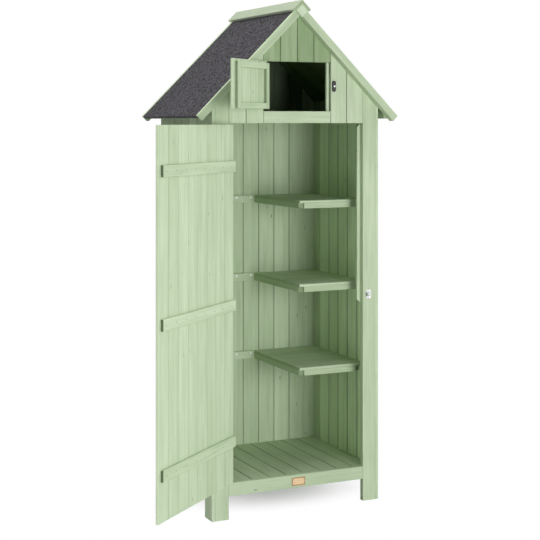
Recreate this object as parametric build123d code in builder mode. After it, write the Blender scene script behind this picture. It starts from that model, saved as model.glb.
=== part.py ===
from build123d import *
import os
from math import cos, radians, sin, tan

os.makedirs("parts", exist_ok=True)

# A narrow painted garden shed with a steep gable roof, a tall ledged door and a hatch above it.
# X runs across the front, Y to the rear and Z up. The origin is on the ground, below the
# middle of the body. Lengths are in millimetres and angles in degrees.

# Body
body_width = 640.0
body_depth = 492.0
wall_thickness = 12.0
front_thickness = 20.0
post_width = 50.0
leg_depth = 63.0
ground_clearance = 78.0
front_rail_height = 44.5
doorway_height = 1215.5

# Floor
floor_thickness = 12.0
floor_step = 3.0
bearer_width = 18.0

# Back rails and shelves
rail_height = 28.0
rail_thickness = 12.0
lower_shelf_rise = 353.5
shelf_spacing = 295.5
shelf_width = 260.0
shelf_setback = 60.0
shelf_board_thickness = 9.0
shelf_batten_width = 18.0
end_batten_recess = 8.0
end_batten_inset = 17.0

# Loft
ledger_size = 18.0
loft_floor_thickness = 10.0

# Front gable and hatch opening
gable_thickness = 12.0
hatch_width = 258.0
hatch_sill_height = 41.0
hatch_cover = 51.0
hatch_stop_width = 24.0
hatch_stop_lap = 10.0
hatch_stop_thickness = 12.0

# Roof
roof_pitch = 45.0
eave_overhang = 65.0
eave_rise = 25.0
gable_overhang = 28.0
barge_width = 26.0
barge_thickness = 12.0
felt_reveal = 2.0
felt_thickness = 2.0
deck_thickness = 9.0
cap_reach = 38.0
cap_thickness = 10.0
end_block_side = 33.0
end_block_thickness = 10.0
eave_batten_width = 20.0
eave_batten_inset = 21.0
eave_batten_depth = 12.0

# Door
door_clearance = 5.0
door_thickness = 9.0
door_open_angle = 140.0
ledge_height = 37.0
ledge_thickness = 10.0
ledge_setback = 15.0
ledge_top_shares = (0.101, 0.488, 0.8665)

# Door hinges
hinge_height = 70.0
hinge_leaf_width = 24.0
hinge_leaf_thickness = 1.5
knuckle_radius = 4.0
knuckle_gap = 0.4
knuckle_face_gap = 0.5
knuckle_leaf_gap = 1.0
pin_radius = 2.2
pin_clearance = 0.08
pin_head_radius = 3.2
pin_head_height = 1.5

# Door stop
stop_width = 24.0
stop_lap = 12.0
stop_thickness = 12.0
stop_length = 631.0
stop_head_gap = 5.0
stop_chamfer = 9.0

# Bolt and keeper
bolt_rise = 5.0
bolt_plate_length = 92.0
bolt_plate_height = 31.0
bolt_plate_thickness = 1.5
bolt_edge_gap = 26.0
bolt_rod_radius = 3.5
bolt_rod_length = 158.0
bolt_slack = 0.2
guide_length = 9.0
guide_wall = 2.0
knob_length = 13.0
keeper_width = 21.0
keeper_height = 31.0
keeper_thickness = 1.5
keeper_inset = 12.0
keeper_strap_width = 9.0

# Hatch door
hatch_clearance = 2.0
hatch_foot_gap = 7.0
hatch_head_gap = 1.0
hatch_thickness = 8.0
hatch_open_angle = 141.0
hatch_frame_thickness = 9.0
hatch_rail_height = 20.0
hatch_stile_width = 22.0
hatch_frame_setback = 19.0
hatch_frame_drop = 7.0
hatch_hinge_height = 32.0
hatch_hinge_leaf_width = 15.0
hatch_hinge_leaf_thickness = 1.2
hatch_knuckle_radius = 3.0
hatch_hinge_shares = (0.2, 0.8)

# Turn button beside the hatch
button_length = 39.0
button_width = 13.0
button_thickness = 7.0
button_edge_radius = 2.0
button_inset = 12.0
button_rise = 2.0

# Places that several pieces share
half_width = body_width / 2
front = -body_depth / 2
back = body_depth / 2
wall_inside = half_width - wall_thickness
back_inside = back - wall_thickness
post_inside = wall_inside - post_width
post_back = front + front_thickness
gable_back = front + gable_thickness
doorway_bottom = ground_clearance + front_rail_height
doorway_top = doorway_bottom + doorway_height
floor_top = doorway_bottom - floor_step
roof_side = half_width + eave_overhang
ridge_height = doorway_top + eave_rise + roof_side * tan(radians(roof_pitch))
slope_length = roof_side / cos(radians(roof_pitch))
felt_top = felt_reveal
deck_top = felt_top + felt_thickness
deck_bottom = deck_top + deck_thickness
barge_face = back + gable_overhang
barge_back = barge_face - barge_thickness


def keep(piece, name):
    """Label a finished piece and write it under its own name."""
    piece.part.label = name
    export_step(piece.part, f"parts/{name}.step")


def board(x, y, z):
    """A square-edged board between two places on each axis."""
    middle = ((x[0] + x[1]) / 2, (y[0] + y[1]) / 2, (z[0] + z[1]) / 2)
    with Locations(middle):
        Box(abs(x[1] - x[0]), abs(y[1] - y[0]), abs(z[1] - z[0]))


def front_to_back(outline, y, sign=1):
    """A board with one outline in X and Z from y[0] to y[1], on the right or mirrored to the left."""
    with BuildSketch(Plane.XZ.offset(-y[1])) as section:
        with BuildLine():
            Polyline(*[(sign * x, z) for x, z in outline], close=True)
        make_face()
    extrude(section.sketch, amount=y[1] - y[0])


def upright(plane, x, y, z):
    """A board that stands on a door's own plane, from z[0] to z[1]."""
    with BuildSketch(plane.offset(z[0])) as section:
        with Locations(((x[0] + x[1]) / 2, (y[0] + y[1]) / 2)):
            Rectangle(abs(x[1] - x[0]), abs(y[1] - y[0]))
    extrude(section.sketch, amount=z[1] - z[0])


def roof_height(x, depth):
    """Height of the roof slope over x, at a depth square below the barge boards' top edge."""
    slope = radians(roof_pitch)
    return ridge_height - abs(x) * tan(slope) - depth / cos(slope)


def slope_corner(length, depth):
    """Corner of a square cut on the slope, at a length from the ridge and a depth below the top edge."""
    slope = radians(roof_pitch)
    x = length * cos(slope) - depth * sin(slope)
    z = ridge_height - length * sin(slope) - depth * cos(slope)
    return (x, z)


def slope_strip(top, bottom, length):
    """Outline of a roof layer, mitred at the ridge and cut square at its lower end."""
    return [
        (0, roof_height(0, top)),
        slope_corner(length, top),
        slope_corner(length, bottom),
        (0, roof_height(0, bottom)),
    ]


# Legs and side walls: the outer board of each side runs down to the ground as a leg
leg_outline = [
    (wall_inside, 0),
    (half_width, 0),
    (half_width, roof_height(half_width, deck_bottom)),
    (wall_inside, roof_height(wall_inside, deck_bottom)),
]
wall_outline = [
    (wall_inside, ground_clearance),
    (half_width, ground_clearance),
    (half_width, roof_height(half_width, deck_bottom)),
    (wall_inside, roof_height(wall_inside, deck_bottom)),
]
sides = {"left": -1, "right": 1}
for side, sign in sides.items():
    with BuildPart() as legs:
        front_to_back(leg_outline, (front, front + leg_depth), sign)
        front_to_back(leg_outline, (back - leg_depth, back), sign)
    keep(legs, f"{side}_legs")

    with BuildPart() as side_wall:
        front_to_back(wall_outline, (front + leg_depth, back - leg_depth), sign)
    keep(side_wall, f"{side}_wall")

# Posts: boards that close the corners on the front and the back, from the ground to the roof
post_outline = [
    (post_inside, 0),
    (wall_inside, 0),
    (wall_inside, roof_height(wall_inside, deck_bottom)),
    (post_inside, roof_height(post_inside, deck_bottom)),
]
for side, sign in sides.items():
    with BuildPart() as front_post:
        front_to_back(post_outline, (front, post_back), sign)
    keep(front_post, f"front_{side}_post")

    with BuildPart() as rear_post:
        front_to_back(post_outline, (back_inside, back), sign)
    keep(rear_post, f"rear_{side}_post")

# Back wall: upright boards up to the rear gable
with BuildPart() as back_wall:
    back_outline = [
        (-post_inside, ground_clearance),
        (post_inside, ground_clearance),
        (post_inside, roof_height(post_inside, deck_bottom)),
        (0, roof_height(0, deck_bottom)),
        (-post_inside, roof_height(post_inside, deck_bottom)),
    ]
    front_to_back(back_outline, (back_inside, back))
keep(back_wall, "back_wall")

# Front rail, floor and the bearers under the floor
with BuildPart() as front_rail:
    board((-post_inside, post_inside), (front, post_back), (ground_clearance, doorway_bottom))
keep(front_rail, "front_rail")

floor_underside = floor_top - floor_thickness
with BuildPart() as floor:
    board((-wall_inside, wall_inside), (post_back, back_inside), (floor_underside, floor_top))
keep(floor, "floor")

with BuildPart() as floor_bearers:
    for bearer_front in (post_back, -bearer_width / 2, back_inside - bearer_width):
        board(
            (-wall_inside, wall_inside),
            (bearer_front, bearer_front + bearer_width),
            (ground_clearance, floor_underside),
        )
keep(floor_bearers, "floor_bearers")

# Back rails: battens across the back wall, level with the shelves
lower_shelf_top = floor_top + lower_shelf_rise
shelf_tops = {
    "lower": lower_shelf_top,
    "middle": lower_shelf_top + shelf_spacing,
    "upper": lower_shelf_top + 2 * shelf_spacing,
}
rail_front = back_inside - rail_thickness
with BuildPart() as back_rails:
    for shelf_top in shelf_tops.values():
        board((-wall_inside, wall_inside), (rail_front, back_inside), (shelf_top - rail_height, shelf_top))
keep(back_rails, "back_rails")

# Shelves: boards on a frame of a front batten between two end battens that stop short of its face
shelf_left = wall_inside - shelf_width
right_batten = wall_inside - end_batten_inset - shelf_batten_width
shelf_front = post_back + shelf_setback
for level, shelf_top in shelf_tops.items():
    with BuildPart() as shelf:
        board(
            (shelf_left, wall_inside),
            (shelf_front, rail_front),
            (shelf_top - shelf_board_thickness, shelf_top),
        )
    keep(shelf, f"{level}_shelf")

with BuildPart() as shelf_end_battens:
    for shelf_top in shelf_tops.values():
        for batten_left in (shelf_left, right_batten):
            board(
                (batten_left, batten_left + shelf_batten_width),
                (shelf_front + end_batten_recess, rail_front),
                (shelf_top - rail_height, shelf_top - shelf_board_thickness),
            )
keep(shelf_end_battens, "shelf_end_battens")

with BuildPart() as shelf_front_battens:
    for shelf_top in shelf_tops.values():
        board(
            (shelf_left + shelf_batten_width, right_batten),
            (shelf_front, shelf_front + shelf_batten_width),
            (shelf_top - rail_height, shelf_top - shelf_board_thickness),
        )
keep(shelf_front_battens, "shelf_front_battens")

# Loft: a floor behind the hatch, on a ledger at the front and one at the back
ledger_top = doorway_top + ledger_size
with BuildPart() as loft_ledgers:
    board((-post_inside, post_inside), (gable_back, gable_back + ledger_size), (doorway_top, ledger_top))
    board((-wall_inside, wall_inside), (back_inside - ledger_size, back_inside), (doorway_top, ledger_top))
keep(loft_ledgers, "loft_ledgers")

with BuildPart() as loft_floor:
    loft_floor_top = ledger_top + loft_floor_thickness
    board((-wall_inside, wall_inside), (post_back, back_inside), (ledger_top, loft_floor_top))
keep(loft_floor, "loft_floor")

# Front gable: upright boards beside and over the hatch opening, and a level sill under it
hatch_side = hatch_width / 2
hatch_bottom = doorway_top + hatch_sill_height
hatch_top = roof_height(hatch_side, deck_bottom) - hatch_cover
gable_side_outline = [
    (hatch_side, doorway_top),
    (post_inside, doorway_top),
    (post_inside, roof_height(post_inside, deck_bottom)),
    (hatch_side, roof_height(hatch_side, deck_bottom)),
]
for side, sign in sides.items():
    with BuildPart() as gable_side:
        front_to_back(gable_side_outline, (front, gable_back), sign)
    keep(gable_side, f"gable_{side}")

with BuildPart() as gable_top:
    gable_top_outline = [
        (-hatch_side, hatch_top),
        (hatch_side, hatch_top),
        (hatch_side, roof_height(hatch_side, deck_bottom)),
        (0, roof_height(0, deck_bottom)),
        (-hatch_side, roof_height(hatch_side, deck_bottom)),
    ]
    front_to_back(gable_top_outline, (front, gable_back))
keep(gable_top, "gable_top")

with BuildPart() as hatch_sill:
    board((-hatch_side, hatch_side), (front, gable_back), (doorway_top, hatch_bottom))
keep(hatch_sill, "hatch_sill")

# Hatch stop: a batten behind the right jamb that the closed hatch meets
with BuildPart() as hatch_stop:
    stop_left = hatch_side - hatch_stop_lap
    board(
        (stop_left, stop_left + hatch_stop_width),
        (gable_back, gable_back + hatch_stop_thickness),
        (loft_floor_top, hatch_top),
    )
keep(hatch_stop, "hatch_stop")

# Roof deck and felt: the felt is folded down over the lower edge of each deck panel
deck_length = slope_length - felt_thickness
deck_outline = slope_strip(deck_top, deck_bottom, deck_length)
felt_outline = [
    (0, roof_height(0, felt_top)),
    slope_corner(slope_length, felt_top),
    slope_corner(slope_length, deck_bottom),
    slope_corner(deck_length, deck_bottom),
    slope_corner(deck_length, deck_top),
    (0, roof_height(0, deck_top)),
]
for side, sign in sides.items():
    with BuildPart() as roof_deck:
        front_to_back(deck_outline, (-barge_back, barge_back), sign)
    keep(roof_deck, f"roof_deck_{side}")

    with BuildPart() as roof_felt:
        front_to_back(felt_outline, (-barge_back, barge_back), sign)
    keep(roof_felt, f"roof_felt_{side}")

# Barge boards, and the soffit battens that fill in between them and the gables
barge_outline = slope_strip(0, barge_width, slope_length)
soffit_outline = slope_strip(deck_bottom, barge_width, slope_length)
for side, sign in sides.items():
    with BuildPart() as barge_boards:
        front_to_back(barge_outline, (-barge_face, -barge_back), sign)
        front_to_back(barge_outline, (barge_back, barge_face), sign)
    keep(barge_boards, f"{side}_barge_boards")

    with BuildPart() as soffit_battens:
        front_to_back(soffit_outline, (-barge_back, front), sign)
        front_to_back(soffit_outline, (back, barge_back), sign)
    keep(soffit_battens, f"{side}_soffit_battens")

# Eave battens: under the lower edge of the deck, from gable to gable
with BuildPart() as eave_battens:
    eave_outside = roof_side - eave_batten_inset
    eave_inside = eave_outside - eave_batten_width
    eave_batten_top = roof_height(eave_outside, deck_bottom)
    eave_outline = [
        (eave_inside, eave_batten_top - eave_batten_depth),
        (eave_outside, eave_batten_top - eave_batten_depth),
        (eave_outside, eave_batten_top),
        (eave_inside, roof_height(eave_inside, deck_bottom)),
    ]
    for sign in sides.values():
        front_to_back(eave_outline, (front, back), sign)
keep(eave_battens, "eave_battens")

# Ridge cap: two boards mitred over the ridge, with a square block set on its corner under each end
cap_outline = slope_strip(-cap_thickness, 0, cap_reach)
cap_end = barge_face + end_block_thickness
for side, sign in sides.items():
    with BuildPart() as ridge_cap:
        front_to_back(cap_outline, (-cap_end, cap_end), sign)
    keep(ridge_cap, f"ridge_cap_{side}")

with BuildPart() as ridge_end_blocks:
    block_outline = [
        (0, ridge_height),
        slope_corner(end_block_side, 0),
        slope_corner(end_block_side, end_block_side),
        (-slope_corner(end_block_side, 0)[0], slope_corner(end_block_side, 0)[1]),
    ]
    front_to_back(block_outline, (-cap_end, -barge_face))
    front_to_back(block_outline, (barge_face, cap_end))
keep(ridge_end_blocks, "ridge_end_blocks")

# Door: upright boards on three ledges, hung on the left post and standing open
door_width = 2 * (post_inside - door_clearance)
door_foot = doorway_bottom + door_clearance
door_head = doorway_top - door_clearance
door_height = door_head - door_foot
door_edge = door_clearance / 2
hinge_standoff = knuckle_radius + knuckle_face_gap
door_inside = hinge_standoff + door_thickness
hinge_axis = (-post_inside + door_edge, front - hinge_standoff, 0)
post_plane = Plane(origin=hinge_axis, x_dir=(1, 0, 0), z_dir=(0, 0, 1))
door_turn = radians(-door_open_angle)
door_plane = Plane(origin=hinge_axis, x_dir=(cos(door_turn), sin(door_turn), 0), z_dir=(0, 0, 1))

with BuildPart() as door_panel:
    panel_x = (door_edge, door_edge + door_width)
    upright(door_plane, panel_x, (hinge_standoff, door_inside), (door_foot, door_head))
keep(door_panel, "door_panel")

ledge_tops = [door_head - share * door_height for share in ledge_top_shares]
with BuildPart() as door_ledges:
    for ledge_top in ledge_tops:
        upright(
            door_plane,
            (door_edge, door_edge + door_width - ledge_setback),
            (door_inside, door_inside + ledge_thickness),
            (ledge_top - ledge_height, ledge_top),
        )
keep(door_ledges, "door_ledges")

# Door hinges: three butt hinges screwed to the front faces, opposite the ledges
hinge_leaf_start = knuckle_radius + knuckle_leaf_gap
knuckle_length = (hinge_height - 2 * knuckle_gap) / 3
upper_knuckle = 2 * (knuckle_length + knuckle_gap)
post_knuckles = [(0, knuckle_length), (upper_knuckle, hinge_height)]
door_knuckles = [(knuckle_length + knuckle_gap, 2 * knuckle_length + knuckle_gap)]
hinge_feet = [ledge_top - ledge_height / 2 - hinge_height / 2 for ledge_top in ledge_tops]


def hinge_leaf(plane, side, foot, knuckles):
    """A leaf on the face of the wood, with the knuckles that it shares the pin by."""
    leaf_y = (hinge_standoff - hinge_leaf_thickness, hinge_standoff)
    leaf_x = (side * hinge_leaf_start, side * (hinge_leaf_start + hinge_leaf_width))
    upright(plane, leaf_x, leaf_y, (foot, foot + hinge_height))
    for low, high in knuckles:
        with BuildSketch(plane.offset(foot + low)) as knuckle:
            Circle(knuckle_radius)
            with Locations((side * hinge_leaf_start / 2, sum(leaf_y) / 2)):
                Rectangle(hinge_leaf_start, hinge_leaf_thickness)
            Circle(pin_radius + pin_clearance, mode=Mode.SUBTRACT)
        extrude(knuckle.sketch, amount=high - low)


with BuildPart() as post_hinge_leaves:
    for hinge_foot in hinge_feet:
        hinge_leaf(post_plane, -1, hinge_foot, post_knuckles)
keep(post_hinge_leaves, "post_hinge_leaves")

with BuildPart() as door_hinge_leaves:
    for hinge_foot in hinge_feet:
        hinge_leaf(door_plane, 1, hinge_foot, door_knuckles)
keep(door_hinge_leaves, "door_hinge_leaves")

with BuildPart() as hinge_pins:
    for hinge_foot in hinge_feet:
        with BuildSketch(post_plane.offset(hinge_foot)):
            Circle(pin_radius)
        extrude(amount=hinge_height)
        with BuildSketch(post_plane.offset(hinge_foot + hinge_height)):
            Circle(pin_head_radius)
        extrude(amount=pin_head_height)
keep(hinge_pins, "hinge_pins")

# Door stop: a batten behind the right post, with its two inner corners cut off
with BuildPart() as door_stop:
    door_stop_left = post_inside - stop_lap
    stop_middle = doorway_top - stop_head_gap - stop_length / 2
    with BuildSketch(Plane.XZ.offset(-post_back - stop_thickness)):
        with Locations((door_stop_left + stop_width / 2, stop_middle)):
            stop_face = Rectangle(stop_width, stop_length)
        chamfer(stop_face.vertices().group_by(Axis.X)[0], length=stop_chamfer)
    extrude(amount=stop_thickness)
keep(door_stop, "door_stop")

# Bolt: a plate with two guides on the door's outer face, and a rod with a knob drawn back in them
bolt_height = ledge_tops[1] - ledge_height / 2 + bolt_rise
bolt_axis_rise = bolt_rod_radius + guide_wall
bolt_tip = door_edge + door_width - bolt_edge_gap
plate_x = (bolt_tip - bolt_plate_length, bolt_tip)
plate_front = hinge_standoff - bolt_plate_thickness
bolt_axis = plate_front - bolt_axis_rise
guide_reach = bolt_rod_radius + bolt_slack + guide_wall
bolt_across = Plane(
    origin=door_plane.from_local_coords((bolt_tip, bolt_axis, bolt_height)),
    x_dir=door_plane.y_dir,
    z_dir=-door_plane.x_dir,
)
with BuildPart() as door_bolt:
    plate_z = (bolt_height - bolt_plate_height / 2, bolt_height + bolt_plate_height / 2)
    upright(door_plane, plate_x, (plate_front, hinge_standoff), plate_z)
    for guide_start in (0, bolt_plate_length - guide_length):
        with BuildSketch(bolt_across.offset(guide_start)):
            Circle(guide_reach)
            with Locations((bolt_axis_rise / 2, 0)):
                Rectangle(bolt_axis_rise, 2 * guide_reach)
            Circle(bolt_rod_radius + bolt_slack, mode=Mode.SUBTRACT)
        extrude(amount=guide_length)
    with BuildSketch(bolt_across):
        Circle(bolt_rod_radius)
    extrude(amount=bolt_rod_length)
    knob_place = bolt_plate_length - guide_length - 2 * bolt_rod_radius
    knob_plane = Plane(
        origin=bolt_across.from_local_coords((0, 0, knob_place)),
        x_dir=bolt_across.z_dir,
        z_dir=-bolt_across.x_dir,
    )
    with BuildSketch(knob_plane):
        Circle(bolt_rod_radius)
    extrude(amount=knob_length)
keep(door_bolt, "door_bolt")

# Keeper: a plate on the right post with a strap that takes the end of the rod
with BuildPart() as bolt_keeper:
    keeper_left = post_inside + keeper_inset
    keeper_z = (bolt_height - keeper_height / 2, bolt_height + keeper_height / 2)
    board((keeper_left, keeper_left + keeper_width), (front - keeper_thickness, front), keeper_z)
    strap_plane = Plane(
        origin=(keeper_left, front - keeper_thickness - bolt_axis_rise, bolt_height),
        x_dir=(0, 1, 0),
        z_dir=(1, 0, 0),
    )
    with BuildSketch(strap_plane):
        Circle(guide_reach)
        with Locations((bolt_axis_rise / 2, 0)):
            Rectangle(bolt_axis_rise, 2 * guide_reach)
        Circle(bolt_rod_radius + bolt_slack, mode=Mode.SUBTRACT)
    extrude(amount=keeper_strap_width)
keep(bolt_keeper, "bolt_keeper")

# Hatch door: a boarded panel with a frame on its inner face, standing open beside the hatch
hatch_panel_width = hatch_width - 2 * hatch_clearance
hatch_foot = hatch_bottom + hatch_foot_gap
hatch_head = hatch_top - hatch_head_gap
hatch_edge = hatch_clearance / 2
hatch_hinge_standoff = hatch_knuckle_radius + knuckle_face_gap
hatch_free = hatch_edge + hatch_panel_width
hatch_inside = hatch_hinge_standoff + hatch_thickness
hatch_axis = (-hatch_side + hatch_edge, front - hatch_hinge_standoff, 0)
jamb_plane = Plane(origin=hatch_axis, x_dir=(1, 0, 0), z_dir=(0, 0, 1))
hatch_turn = radians(-hatch_open_angle)
hatch_plane = Plane(origin=hatch_axis, x_dir=(cos(hatch_turn), sin(hatch_turn), 0), z_dir=(0, 0, 1))
frame_y = (hatch_inside, hatch_inside + hatch_frame_thickness)
frame_free = hatch_free - hatch_frame_setback
frame_head = hatch_head - hatch_frame_drop

with BuildPart() as hatch_door:
    hatch_y = (hatch_hinge_standoff, hatch_inside)
    upright(hatch_plane, (hatch_edge, hatch_free), hatch_y, (hatch_foot, hatch_head))
keep(hatch_door, "hatch_door")

with BuildPart() as hatch_stiles:
    for stile_start in (hatch_edge, frame_free - hatch_stile_width):
        stile_x = (stile_start, stile_start + hatch_stile_width)
        upright(hatch_plane, stile_x, frame_y, (hatch_foot, frame_head))
keep(hatch_stiles, "hatch_stiles")

with BuildPart() as hatch_rails:
    rail_x = (hatch_edge + hatch_stile_width, frame_free - hatch_stile_width)
    for rail_foot in (hatch_foot, frame_head - hatch_rail_height):
        upright(hatch_plane, rail_x, frame_y, (rail_foot, rail_foot + hatch_rail_height))
keep(hatch_rails, "hatch_rails")

with BuildPart() as hatch_hinges:
    leaf_y = (hatch_hinge_standoff - hatch_hinge_leaf_thickness, hatch_hinge_standoff)
    for share in hatch_hinge_shares:
        middle = hatch_foot + share * (hatch_head - hatch_foot)
        hinge_z = (middle - hatch_hinge_height / 2, middle + hatch_hinge_height / 2)
        upright(jamb_plane, (-hatch_hinge_leaf_width, 0), leaf_y, hinge_z)
        upright(hatch_plane, (0, hatch_hinge_leaf_width), leaf_y, hinge_z)
        with BuildSketch(jamb_plane.offset(hinge_z[0])):
            Circle(hatch_knuckle_radius)
        extrude(amount=hatch_hinge_height)
keep(hatch_hinges, "hatch_hinges")

# Turn button: a rounded catch beside the hatch, turned upright out of the hatch's way
with BuildPart() as hatch_turn_button:
    button_middle = (hatch_bottom + hatch_top) / 2 + button_rise
    with BuildSketch(Plane.XZ.offset(-front)):
        with Locations((hatch_side + button_inset, button_middle)):
            SlotOverall(button_length, button_width, rotation=90)
    extrude(amount=button_thickness)
    fillet(hatch_turn_button.faces().sort_by(Axis.Y)[0].edges(), radius=button_edge_radius)
keep(hatch_turn_button, "hatch_turn_button")
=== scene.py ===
import math
import random

import bmesh
import bpy
from mathutils import Matrix, Vector


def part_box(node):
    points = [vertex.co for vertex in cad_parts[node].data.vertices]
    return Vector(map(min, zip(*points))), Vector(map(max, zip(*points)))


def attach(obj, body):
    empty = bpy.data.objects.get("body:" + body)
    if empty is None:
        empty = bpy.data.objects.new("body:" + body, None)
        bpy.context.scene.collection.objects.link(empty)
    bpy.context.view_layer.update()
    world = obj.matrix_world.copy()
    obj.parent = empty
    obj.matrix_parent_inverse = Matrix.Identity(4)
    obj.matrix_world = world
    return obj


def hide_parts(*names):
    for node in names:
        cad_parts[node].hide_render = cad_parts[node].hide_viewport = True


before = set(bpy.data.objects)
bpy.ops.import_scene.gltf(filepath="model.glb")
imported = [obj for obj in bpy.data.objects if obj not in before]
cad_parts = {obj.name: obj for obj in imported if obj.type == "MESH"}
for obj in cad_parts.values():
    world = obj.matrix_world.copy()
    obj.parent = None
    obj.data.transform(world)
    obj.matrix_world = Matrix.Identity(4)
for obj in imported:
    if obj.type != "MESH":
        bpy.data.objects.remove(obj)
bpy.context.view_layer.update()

# Legs
# The corner boards of the two side walls, planed softwood that runs on past the floor to the ground.
# Their tops are cut to the slope of the roof, and every arris is eased with a plane.
planed_ease = 0.0012
same_point = 0.00001
same_plane = math.radians(1)


def planed_copy(node, ease=planed_ease):
    """The solids of one node as planed timber: each flat face in one piece, and every arris eased."""
    bpy.ops.object.select_all(action="DESELECT")
    timber = bpy.data.objects.new(f"{node}_planed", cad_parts[node].data.copy())
    bpy.context.collection.objects.link(timber)
    timber.select_set(True)
    bpy.context.view_layer.objects.active = timber
    bpy.ops.object.mode_set(mode="EDIT")
    bpy.ops.mesh.select_all(action="SELECT")
    bpy.ops.mesh.remove_doubles(threshold=same_point)
    bpy.ops.mesh.dissolve_limited(angle_limit=same_plane)
    bpy.ops.mesh.select_all(action="SELECT")
    bpy.ops.mesh.bevel(offset=ease, segments=2, affect="EDGES")
    bpy.ops.object.mode_set(mode="OBJECT")
    return timber


def lay_grain(timber, thirst_and_painted_light=0, spread=1):
    """Marks each board with its own grain: where a point lies across, through and along that board.

    Thirst makes a piece's boards darker, and below zero paler; on several pieces it carries painted shade
    or painted light. Spread is how much the boards of a piece differ.
    """
    chance = random.Random(timber.name)
    far_apart = 9
    sawn_across = 0.6
    mesh = bmesh.new()
    mesh.from_mesh(timber.data)
    mesh.faces.index_update()
    grain = mesh.loops.layers.float_vector.new("grain")
    tone = mesh.faces.layers.float.new("tone")
    end_grain = mesh.faces.layers.float.new("end_grain")
    reached = [False] * len(mesh.faces)
    for first in mesh.faces:
        if reached[first.index]:
            continue
        reached[first.index] = True
        board = [first]
        for face in board:
            for edge in face.edges:
                for other in edge.link_faces:
                    if not reached[other.index]:
                        reached[other.index] = True
                        board.append(other)
        longest = max((edge for face in board for edge in face.edges), key=lambda edge: edge.calc_length())
        along = (longest.verts[1].co - longest.verts[0].co).normalized()
        through = max(board, key=lambda face: face.calc_area()).normal.copy()
        across = through.cross(along)
        log = Vector(chance.uniform(-far_apart, far_apart) for axis in range(3))
        shade = 0.5 + spread * (chance.random() - 0.5) + thirst_and_painted_light
        for face in board:
            face[tone] = shade
            face[end_grain] = abs(face.normal.dot(along)) > sawn_across
            for corner in face.loops:
                at = corner.vert.co
                corner[grain] = log + Vector((at.dot(across), at.dot(through), at.dot(along)))
    mesh.to_mesh(timber.data)
    mesh.free()


def linear(colour):
    """An sRGB hex colour as the linear colour a node takes."""
    shares = (int(colour[place:place + 2], 16) / 255 for place in (1, 3, 5))
    return *(s / 12.92 if s <= 0.04045 else ((s + 0.055) / 1.055) ** 2.4 for s in shares), 1


def add_node(material, kind, inputs=None, **settings):
    """Adds a node with its settings; an input is a value or another node's output."""
    node = material.node_tree.nodes.new(f"ShaderNode{kind}")
    for name, value in settings.items():
        setattr(node, name, value)
    for socket, value in (inputs or {}).items():
        if isinstance(value, bpy.types.NodeSocket):
            material.node_tree.links.new(value, node.inputs[socket])
        else:
            node.inputs[socket].default_value = value
    return node


def new_material(name):
    """A material with an empty node tree."""
    material = bpy.data.materials.new(name)
    material.use_nodes = True
    material.node_tree.nodes.clear()
    return material


# Fir under a thin sage green wood stain, brushed on along the grain. It dries matt, and the eye sees
# soft patches and streaks along each board, boards that differ a little, small dark knots that the
# grain swerves round, dark joints where the stain pooled, and thirstier end grain. Some faces and
# pieces also carry painted shade, drawn darker towards the joint colour, and painted light, drawn paler.
sage_stain = new_material("sage_stained_fir")
pale_sage = linear("#D3E2C5")
deep_sage = linear("#AABD9A")
knot_sage = linear("#66775A")
joint_and_painted_shade_sage = linear("#4F6142")
end_sage = linear("#A3B592")
patch_width, patch_length = 0.05, 0.19
streak_width, streak_length = 0.013, 0.34
fibre_width, fibre_length = 0.0032, 0.09
knot_spacing_across, knot_spacing_along = 0.09, 0.36
knot_width, knot_length = 0.007, 0.02
swerve_reach, knot_swerve = 4.5, 0.009
relief_depth = 0.0003
streak_share, fibre_share, tone_share, knot_depth = 0.6, 0.25, 0.26, 0.75

board_point = add_node(sage_stain, "Attribute", attribute_name="grain").outputs["Vector"]
board_tone_and_painted_light = add_node(sage_stain, "Attribute", attribute_name="tone").outputs["Fac"]
board_end = add_node(sage_stain, "Attribute", attribute_name="end_grain").outputs["Fac"]
pooled_and_painted_light_share = add_node(sage_stain, "Attribute", attribute_name="pooled").outputs["Fac"]

knot_cell = (knot_spacing_across, 1.0, knot_spacing_along)
knot_point = add_node(
    sage_stain, "VectorMath", {0: board_point, 1: knot_cell}, operation="DIVIDE"
).outputs[0]
knot_grid = add_node(sage_stain, "TexVoronoi", {"Vector": knot_point, "Scale": 1.0, "Randomness": 0.9})
knot_offset = add_node(
    sage_stain, "VectorMath", {0: knot_point, 1: knot_grid.outputs["Position"]}, operation="SUBTRACT"
).outputs[0]
knot_shape = (2 * knot_spacing_across / knot_width, 0.0, 2 * knot_spacing_along / knot_length)
knot_radii = add_node(
    sage_stain, "VectorMath", {0: knot_offset, 1: knot_shape}, operation="MULTIPLY"
).outputs[0]
knot_distance = add_node(sage_stain, "VectorMath", {0: knot_radii}, operation="LENGTH").outputs["Value"]
knot_chance = add_node(
    sage_stain, "SeparateColor", {"Color": knot_grid.outputs["Color"]}
).outputs["Red"]
knot_here = add_node(
    sage_stain, "MapRange", {"Value": knot_chance, "From Min": 0.35, "From Max": 0.95}
).outputs[0]
knot_edge = add_node(
    sage_stain, "MapRange",
    {"Value": knot_distance, "From Min": 0.2, "From Max": 1.1, "To Min": 1.0, "To Max": 0.0},
    interpolation_type="SMOOTHSTEP",
).outputs[0]
knot = add_node(sage_stain, "Math", {0: knot_edge, 1: knot_here}, operation="MULTIPLY").outputs[0]
swerve_edge = add_node(
    sage_stain, "MapRange",
    {"Value": knot_distance, "From Max": swerve_reach, "To Min": knot_swerve, "To Max": 0.0},
    interpolation_type="SMOOTHSTEP",
).outputs[0]
swerve = add_node(sage_stain, "Math", {0: swerve_edge, 1: knot_here}, operation="MULTIPLY").outputs[0]
swerve_across = add_node(sage_stain, "CombineXYZ", {"X": swerve}).outputs[0]
fibre_point = add_node(sage_stain, "VectorMath", {0: board_point, 1: swerve_across}).outputs[0]

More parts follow.
